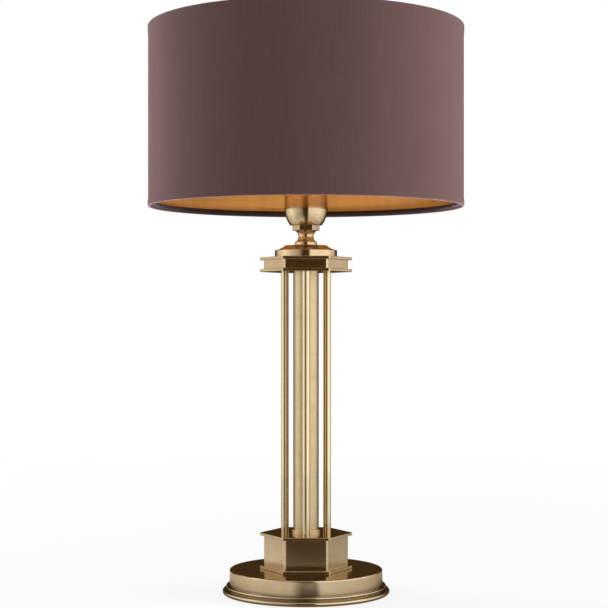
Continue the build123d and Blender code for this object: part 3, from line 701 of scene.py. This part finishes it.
# %% Felt finish
felt, felt_shader = new_finish("felt")
felt_graph = felt.node_tree
felt_point = object_point(felt_graph)
fibres = noise(felt_graph, scaled(felt_graph, felt_point, (1, 1, 0.4)), 2600.0, 4.0, 0.7)
tufts = noise(felt_graph, felt_point, 240.0, 3.0, 0.6)
felt_tone = noise_sum(felt_graph, fibres, tufts, 0.6)
felt_colour = blended(felt_graph, felt_tone, colour(26, 30, 26), colour(58, 64, 56))
connect(felt_graph, felt_colour, felt_shader.inputs["Base Color"])
connect(felt_graph, from_noise(felt_graph, fibres, 1.0, 0.85), felt_shader.inputs["Roughness"])
connect(felt_graph, bumped(felt_graph, felt_tone, 0.25 * mm), felt_shader.inputs["Normal"])
felt_shader.inputs["Sheen Weight"].default_value = 0.35
felt_shader.inputs["Sheen Roughness"].default_value = 0.6
print("felt has", len(felt_graph.nodes), "nodes")

# %% Felt disc
felt_low, felt_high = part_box("felt_pad")
felt_radius = (felt_high.x - felt_low.x) / 2
felt_thickness = felt_high.z - felt_low.z
felt_mesh = bmesh.new()
bmesh.ops.create_circle(felt_mesh, cap_ends=True, segments=128, radius=felt_radius)
for ring_width in (2 * mm, 8 * mm, 20 * mm, 20 * mm):
    middle = [face for face in felt_mesh.faces if len(face.verts) > 4]
    bmesh.ops.inset_region(felt_mesh, faces=middle, thickness=ring_width)
bmesh.ops.translate(felt_mesh, verts=felt_mesh.verts[:], vec=(0, 0, felt_low.z))
raised = bmesh.ops.extrude_face_region(felt_mesh, geom=felt_mesh.faces[:])["geom"]
raised_points = [part for part in raised if isinstance(part, bmesh.types.BMVert)]
bmesh.ops.translate(felt_mesh, verts=raised_points, vec=(0, 0, felt_thickness))
slack = 0.01 * mm
rim = []
for edge in felt_mesh.edges:
    first, second = [point.co for point in edge.verts]
    is_outside = min(first.xy.length, second.xy.length) > felt_radius - slack
    is_level = abs(first.z - second.z) < slack
    if is_outside and is_level:
        rim.append(edge)
bmesh.ops.bevel(
    felt_mesh,
    geom=rim,
    offset=0.4 * mm,
    segments=3,
    profile=0.5,
    affect="EDGES",
    material=-1,
    clamp_overlap=True,
)
felt_disc = kept(felt_mesh, "felt_disc", felt)
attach(felt_disc, "stand")
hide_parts("felt_pad")
print("felt disc", round(2 * felt_radius, 4), "m across")

# %% [markdown]
# ## The threaded sleeve of the lampholder
# The sleeve's outside carries the coarse thread that the shade ring turns on.
# A thread is one tooth swept round the axis while it climbs: the spin gets a
# small upward step. The sleeve itself is the closed outline of its wall,
# turned down to the thread's root, and the tooth reaches the old outside.

# %% Sleeve
skirt_low, skirt_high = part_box("holder_skirt")
skirt_radius = (skirt_high.x - skirt_low.x) / 2
thread_pitch_outer = 2.5 * mm
thread_depth = 0.7 * mm
thread_root = skirt_radius - thread_depth
thread_start = skirt_low.z + 14 * mm
sleeve_bore = 17.3 * mm
mouth_radius = 14.55 * mm
lip_thickness = 1.6 * mm
thread_run_out = 0.6 * mm
chamfer = 0.5 * mm
sleeve_corners = [
    (sleeve_bore, skirt_low.z),
    (skirt_radius, skirt_low.z),
    (skirt_radius, thread_start),
    (thread_root, thread_start + thread_run_out),
    (thread_root, skirt_high.z - chamfer),
    (thread_root - chamfer, skirt_high.z),
    (mouth_radius, skirt_high.z),
    (mouth_radius, skirt_high.z - lip_thickness),
    (sleeve_bore, skirt_high.z - lip_thickness),
    (sleeve_bore, skirt_low.z),
]
sleeve_mesh = bmesh.new()
sleeve_points = chain(sleeve_mesh, sleeve_corners)
mouth_corner = sleeve_points[6]
rounded(sleeve_mesh, [mouth_corner], 0.4 * mm, segments=3)
swept(sleeve_mesh, full_turn, steps=96, merge=True)
joined(sleeve_mesh)
print("sleeve has", len(sleeve_mesh.faces), "faces before its thread")

# %% Outer thread
half_foot = 0.9 * mm
half_crest = 0.25 * mm
tooth_foot = thread_root - 0.2 * mm
tooth_corners = [
    (tooth_foot, thread_start - half_foot),
    (skirt_radius, thread_start - half_crest),
    (skirt_radius, thread_start + half_crest),
    (tooth_foot, thread_start + half_foot),
    (tooth_foot, thread_start - half_foot),
]
thread_turns = math.floor((skirt_high.z - thread_start - half_foot) / thread_pitch_outer * 2) / 2
turn_steps = 60
thread_steps = int(thread_turns * turn_steps)
thread_mesh = bmesh.new()
chain(thread_mesh, tooth_corners)
joined(thread_mesh)
bmesh.ops.contextual_create(thread_mesh, geom=thread_mesh.edges[:])
climb = (0, 0, thread_pitch_outer / turn_steps)
swept(thread_mesh, full_turn * thread_turns, thread_steps, rise=climb)
thread_data = bpy.data.meshes.new("sleeve_thread")
thread_mesh.to_mesh(thread_data)
thread_mesh.free()
sleeve_mesh.from_mesh(thread_data)
threaded_sleeve = kept(sleeve_mesh, "threaded_sleeve", holder_plastic, smooth=False)
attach(threaded_sleeve, "stand")
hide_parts("holder_skirt")
print("outer thread has", thread_turns, "turns of", thread_pitch_outer / mm, "mm")

# %% [markdown]
# ## The rolled screw shell
# The shell that takes the bulb is thin brass with a round thread rolled into
# it. One wave of the wall, swept with a rise of one pitch a turn, makes the
# whole rolled tube. It is swept a little too long and cut level at both ends.

# %% Screw shell
shell_low, shell_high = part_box("screw_shell")
shell_outer = (shell_high.x - shell_low.x) / 2
shell_wall = 0.5 * mm
thinned_wall = shell_wall * 0.9
bulb_pitch = 3.629 * mm
bulb_depth = 1.1 * mm
wave_points = 12
shell_steps = 48
shell_slack = 0.005 * mm
cut_margin = 0.1 * mm
wave = []
for step in range(wave_points + 1):
    share = step / wave_points
    radius = shell_outer - shell_wall / 2 - bulb_depth * (0.5 - 0.5 * math.cos(full_turn * share))
    wave.append((radius, shell_low.z - bulb_pitch + bulb_pitch * share))
shell_turns = math.ceil((shell_high.z - shell_low.z) / bulb_pitch) + 2
shell_mesh = bmesh.new()
chain(shell_mesh, wave)
climb = (0, 0, bulb_pitch / shell_steps)
swept(shell_mesh, full_turn * shell_turns, shell_steps * shell_turns, rise=climb)
bmesh.ops.remove_doubles(shell_mesh, verts=shell_mesh.verts[:], dist=shell_slack)
for level, side in ((shell_low.z + cut_margin, -1), (shell_high.z - cut_margin, 1)):
    bmesh.ops.bisect_plane(
        shell_mesh,
        geom=everything(shell_mesh),
        plane_co=(0, 0, level),
        plane_no=(0, 0, side),
        clear_outer=True,
    )
rolled_shell = kept(shell_mesh, "rolled_screw_shell", contact_brass)
thickened(rolled_shell, thinned_wall)
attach(rolled_shell, "stand")
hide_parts("screw_shell")
print("screw shell has", shell_turns, "turns before it is cut")

# %% [markdown]
# ## Welds of the shade frame
# Each arm is spot-welded to the fitter and to the lower wire. A weld is a
# small flattened bead of the same wire metal, so a few subdivided balls,
# squashed and laid on the joints, are enough. The boxes of the fitter, of an
# arm and of the lower wire place them, so they stay on the wires.

# %% Weld beads
weld_mesh = bmesh.new()
fitter_low, fitter_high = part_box("fitter_ring")
fitter_radius = (fitter_high.x - fitter_low.x) / 2
arm_low, arm_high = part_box("fitter_arm_rear")
weld_wire = (arm_high.x - arm_low.x) / 2
weld_radius = 1.9 * mm
weld_squash = (1.5, 1.05, 0.95)
weld_inset = 3 * mm
weld_places = [(fitter_radius - weld_inset, fitter_low.z - weld_wire), (ring_radius, wire_high.z)]
for arm_angle in (90, 210, 330):
    for reach, level in weld_places:
        bead = bmesh.ops.create_icosphere(weld_mesh, subdivisions=3, radius=weld_radius)["verts"]
        bmesh.ops.scale(weld_mesh, verts=bead, vec=weld_squash)
        bmesh.ops.translate(weld_mesh, verts=bead, vec=(reach, 0, level))
        turn = Matrix.Rotation(math.radians(arm_angle), 3, "Z")
        bmesh.ops.rotate(weld_mesh, verts=bead, cent=(0, 0, 0), matrix=turn)
weld_beads = kept(weld_mesh, "weld_beads", frame_wire)
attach(weld_beads, "shade")
print("welds at", [round(level, 4) for reach, level in weld_places])

# %% [markdown]
# ## Floor and world
# The floor is plain and pale. What the camera, a mirror or glass sees of it
# is mostly plain white, by the Light Path node. The rest is a pale surface
# that takes the lamp's shadow, and its share fades out with the distance. The
# world behind is white to the same rays, so both meet without a line.


# %% Floor
def use_surface(graph, surface):
    """Let the material show that surface."""
    connect(graph, surface, graph.nodes["Material Output"].inputs["Surface"])


def emission(graph, tone, strength):
    """A surface that shines in that colour."""
    return add_node(graph, "ShaderNodeEmission", {"Color": tone, "Strength": strength}).outputs[0]


def mixed(graph, share, first, second):
    """A mix of two surfaces, with the share of the second one."""
    return add_node(graph, "ShaderNodeMixShader", {0: share, 1: first, 2: second}).outputs[0]


def seen_rays(graph):
    """One for rays from the camera, from a mirror or through glass."""
    path = add_node(graph, "ShaderNodeLightPath")
    seen = math_node(graph, "MAXIMUM", path.outputs["Is Camera Ray"], path.outputs["Is Glossy Ray"])
    return math_node(graph, "MAXIMUM", seen, path.outputs["Is Transmission Ray"])


floor_finish, floor_shader = new_finish("floor_white")
floor_graph = floor_finish.node_tree
floor_shader.inputs["Base Color"].default_value = (0.8, 0.8, 0.8, 1)
floor_shader.inputs["Roughness"].default_value = 0.9
floor_shader.inputs["Specular IOR Level"].default_value = 0.0
white = (1, 1, 1, 1)
floor_reach = axis_distance(floor_graph, object_point(floor_graph))
fade_starts = 0.3
fade_ends = 1.6
near_white = 0.85
floor_white = mapped(floor_graph, floor_reach, fade_starts, fade_ends, near_white, 1.0)
floor_share = math_node(floor_graph, "MULTIPLY", seen_rays(floor_graph), floor_white)
floor_light = emission(floor_graph, white, 1.0)
use_surface(floor_graph, mixed(floor_graph, floor_share, floor_shader.outputs[0], floor_light))
half_floor = 8.0
floor_mesh = bmesh.new()
bmesh.ops.create_grid(floor_mesh, x_segments=2, y_segments=2, size=half_floor)
floor = kept(floor_mesh, "studio_floor", floor_finish)

# %% World
world = bpy.data.worlds.new("studio_world")
bpy.context.scene.world = world
world.use_nodes = True
world_graph = world.node_tree
world_graph.nodes.clear()
world_direction = add_node(world_graph, "ShaderNodeTexCoord").outputs["Generated"]
world_rise = add_node(world_graph, "ShaderNodeSeparateXYZ", {0: world_direction}).outputs["Z"]
low_fill = 0.7
high_fill = 0.2
fill_level = mapped(world_graph, world_rise, 0.0, 0.7, low_fill, high_fill)
soft_fill = add_node(world_graph, "ShaderNodeBackground", {"Color": white, "Strength": fill_level})
white_wall = add_node(world_graph, "ShaderNodeBackground", {"Color": white, "Strength": 1.0})
world_mix = mixed(world_graph, seen_rays(world_graph), soft_fill.outputs[0], white_wall.outputs[0])
add_node(world_graph, "ShaderNodeOutputWorld", {"Surface": world_mix})
print("floor and world are white to the camera, to a mirror and through glass")

# %% [markdown]
# ## A tent of cloth panels
# Polished brass shows only what stands round it. The photographed lamp looks
# as if it stood between two soft panels, with a dark gap where the lens looked
# in and dark cloth behind the lamp: the upright middle line on each turned
# part would be that gap, and the dark edges the cloth behind. Here one ring of
# panels stands round the lamp, under a roof that is darker towards the back.
# The ring's brightness changes with the angle. The camera and the diffuse
# light see neither of the two: only glossy reflections do.


# %% Helpers for what only reflections see
def new_glow(name):
    """A material for something that only shines, and its node graph."""
    material, shader = new_finish(name)
    material.node_tree.nodes.remove(shader)
    return material, material.node_tree


def only_reflected(piece):
    """Let nothing but glossy reflections see the piece."""
    piece.visible_camera = False
    piece.visible_diffuse = False
    piece.visible_transmission = False
    piece.visible_shadow = False
    piece.visible_volume_scatter = False


def azimuth_of(graph, point):
    """The angle round the lamp, 0 towards the lens and positive to the right."""
    parts = add_node(graph, "ShaderNodeSeparateXYZ", {0: point})
    front = math_node(graph, "MULTIPLY", parts.outputs["Y"], -1.0)
    return math_node(graph, "ARCTAN2", parts.outputs["X"], front)


def colour_ramp(graph, share, stops):
    """A ramp of colours over a share, each stop given as its share and its colour."""
    node = add_node(graph, "ShaderNodeValToRGB", {0: share})
    while len(node.color_ramp.elements) < len(stops):
        node.color_ramp.elements.new(0.5)
    for element, (position, tone) in zip(node.color_ramp.elements, stops):
        element.position = position
        element.color = tone + (1,)
    return node.outputs[0]


def ring_of_panels(graph, stops, strength):
    """A light whose colour changes with the angle, by stops in degrees."""
    azimuth = azimuth_of(graph, object_point(graph))
    share = mapped(graph, azimuth, -math.pi, math.pi, 0, 1)
    places = [((degrees + 180) / 360, tone) for degrees, tone in stops]
    return emission(graph, colour_ramp(graph, share, places), strength)


# %% Ring of panels
panel_finish, panel_graph = new_glow("tent_panels")
gap_colour = (0.072, 0.043, 0.013)
panel_stops = [
    (-180, gap_colour),
    (-143, (0.10, 0.075, 0.05)),
    (-130, (0.80, 0.78, 0.76)),
    (-110, (1.10, 1.08, 1.06)),
    (-85, (1.48, 1.46, 1.43)),
    (-50, (0.88, 0.86, 0.83)),
    (-27, (0.60, 0.57, 0.54)),
    (-12, gap_colour),
    (12, gap_colour),
    (16, (1.45, 1.44, 1.42)),
    (45, (1.42, 1.42, 1.42)),
    (85, (1.50, 1.48, 1.45)),
    (100, (1.20, 1.18, 1.15)),
    (122, (0.85, 0.85, 0.86)),
    (140, (0.10, 0.075, 0.05)),
    (180, gap_colour),
]
use_surface(panel_graph, ring_of_panels(panel_graph, panel_stops, 1.0))

tent_radius = 1.2
tent_height = 1.6
tent_steps = 96
tent_mesh = bmesh.new()
chain(tent_mesh, [(tent_radius, 0), (tent_radius, tent_height)])
swept(tent_mesh, full_turn, tent_steps, merge=True)
tent = kept(tent_mesh, "panel_tent", panel_finish)
only_reflected(tent)

# %% Roof
roof_finish, roof_graph = new_glow("tent_roof")
roof_colour = (1.0, 0.95, 0.88, 1)
front_edge = -0.6
front_level = 0.8
back_level = 0.25
roof_depth = add_node(roof_graph, "ShaderNodeSeparateXYZ", {0: object_point(roof_graph)}).outputs["Y"]
roof_level = mapped(roof_graph, roof_depth, front_edge, 0.0, front_level, back_level)
use_surface(roof_graph, emission(roof_graph, roof_colour, roof_level))
roof_mesh = bmesh.new()
bmesh.ops.create_circle(roof_mesh, cap_ends=True, segments=tent_steps, radius=tent_radius)
bmesh.ops.translate(roof_mesh, verts=roof_mesh.verts[:], vec=(0, 0, tent_height))
roof = kept(roof_mesh, "tent_roof", roof_finish)
only_reflected(roof)

# %% [markdown]
# ## Dark mat
# The camera is higher than the base and the pedestal, so their upright faces
# mirror the floor round the lamp. In the photograph that floor looks dim close
# to the base, and dark ahead of it, as if it showed the gap in the panels. A
# mat that only reflections see does the same: close to the base its dark is a
# painted shadow of the lamp on the floor, and ahead it is dark cloth. Its cover
# changes with the distance from the lamp, by one ramp all round and by another
# in a wedge towards the lens.
# Further out the mat carries the panels' own light, a little dimmer, so that
# the lower ends of the rods look like the rest of them.

# %% Cover of the mat
mat_finish, mat_graph = new_glow("dark_mat")
mat_point = object_point(mat_graph)
mat_reach = axis_distance(mat_graph, mat_point)
mat_azimuth = azimuth_of(mat_graph, mat_point)
wedge_left = mapped(mat_graph, mat_azimuth, math.radians(-17), math.radians(-5), 0, 1)
wedge_right = mapped(mat_graph, mat_azimuth, math.radians(12), math.radians(17), 1, 0)
wedge = math_node(mat_graph, "MULTIPLY", wedge_left, wedge_right)
mat_inner = 80 * mm
mat_outer = 900 * mm


def cover_ramp(graph, reach, stops):
    """How much of the floor the mat covers at each distance in millimetres."""
    share = mapped(graph, reach, mat_inner, mat_outer, 0, 1)
    width = mat_outer - mat_inner
    places = [((distance * mm - mat_inner) / width, (cover,) * 3) for distance, cover in stops]
    return colour_ramp(graph, share, places)


# painted shadow: from 80 to 150 mm the cover stands in for the lamp's shadow on the floor, as the metal
# mirrors it
round_stops = [
    (80, 0.9), (110, 0.65), (150, 0.15), (230, 0.05), (330, 0.1), (450, 0.3), (600, 0.3), (900, 0.0)
]
ahead_stops = [
    (80, 0.9), (115, 0.9), (135, 1.0), (166, 1.0), (180, 0.25), (200, 0.25), (213, 1.0), (300, 1.0)
]
all_round = cover_ramp(mat_graph, mat_reach, round_stops)
ahead = cover_ramp(mat_graph, mat_reach, ahead_stops)
right_side = mapped(mat_graph, mat_azimuth, math.radians(60), math.radians(115), 0, 0.3)
sides = math_node(mat_graph, "ADD", all_round, right_side, clamp=True)
mat_cover = mapped(mat_graph, wedge, 0, 1, sides, ahead)
mat_clear = add_node(mat_graph, "ShaderNodeBsdfTransparent").outputs[0]
mat_near = mixed(mat_graph, mat_cover, mat_clear, emission(mat_graph, gap_colour + (1,), 1.0))
panels_start = 420 * mm
panels_full = 650 * mm
panels_dimmed = 0.78
far_share = mapped(mat_graph, mat_reach, panels_start, panels_full, 0, 1)
mat_far = ring_of_panels(mat_graph, panel_stops, panels_dimmed)
use_surface(mat_graph, mixed(mat_graph, far_share, mat_near, mat_far))
print("mat has", len(mat_graph.nodes), "nodes")

# %% Mat on the floor
mat_level = 1 * mm
mat_mesh = bmesh.new()
chain(mat_mesh, [(mat_inner, mat_level), (tent_radius, mat_level)])
swept(mat_mesh, full_turn, tent_steps, merge=True)
mat = kept(mat_mesh, "floor_mat", mat_finish)
only_reflected(mat)

# %% [markdown]
# ## Soft lamps
# Two large soft lamps light the cloth and the floor, one at the right and one
# a little behind on the left, which leaves the shade darkest just left of its
# middle. Two small ones stand low and look up into the shade, to light the
# gold film. The rear one shines within a cone, to keep off the film behind
# it. No reflection shows any of the four: the metal has the panels instead.


# %% Lamps
def soft_lamp(name, place, aim, size, power, spread=180):
    """A square lamp that looks from one place at another, within a cone in degrees."""
    light = bpy.data.lights.new(name, "AREA")
    light.shape = "SQUARE"
    light.size = size
    light.energy = power
    light.spread = math.radians(spread)
    lamp = bpy.data.objects.new(name, light)
    lamp.location = place
    lamp.rotation_euler = (Vector(aim) - lamp.location).to_track_quat("-Z", "Y").to_euler()
    lamp.visible_camera = False
    lamp.visible_glossy = False
    bpy.context.scene.collection.objects.link(lamp)
    return lamp


column_middle = (0, 0, 0.3)
lamps = [
    soft_lamp("right_lamp", (1.8, 0, 0.9), column_middle, size=1.4, power=30),
    soft_lamp("left_lamp", (-1.56, 0.9, 0.9), column_middle, size=1.4, power=36),
    soft_lamp("film_lamp_front", (0.09, -0.09, 0.06), (-0.11, 0.05, 0.4), size=0.08, power=1.45),
    soft_lamp("film_lamp_rear", (0, 0.13, 0.06), (0, -0.16, 0.41), size=0.05, power=1.6, spread=100),
]
for lamp in lamps:
    print(lamp.name, round(lamp.data.energy, 2), "W")
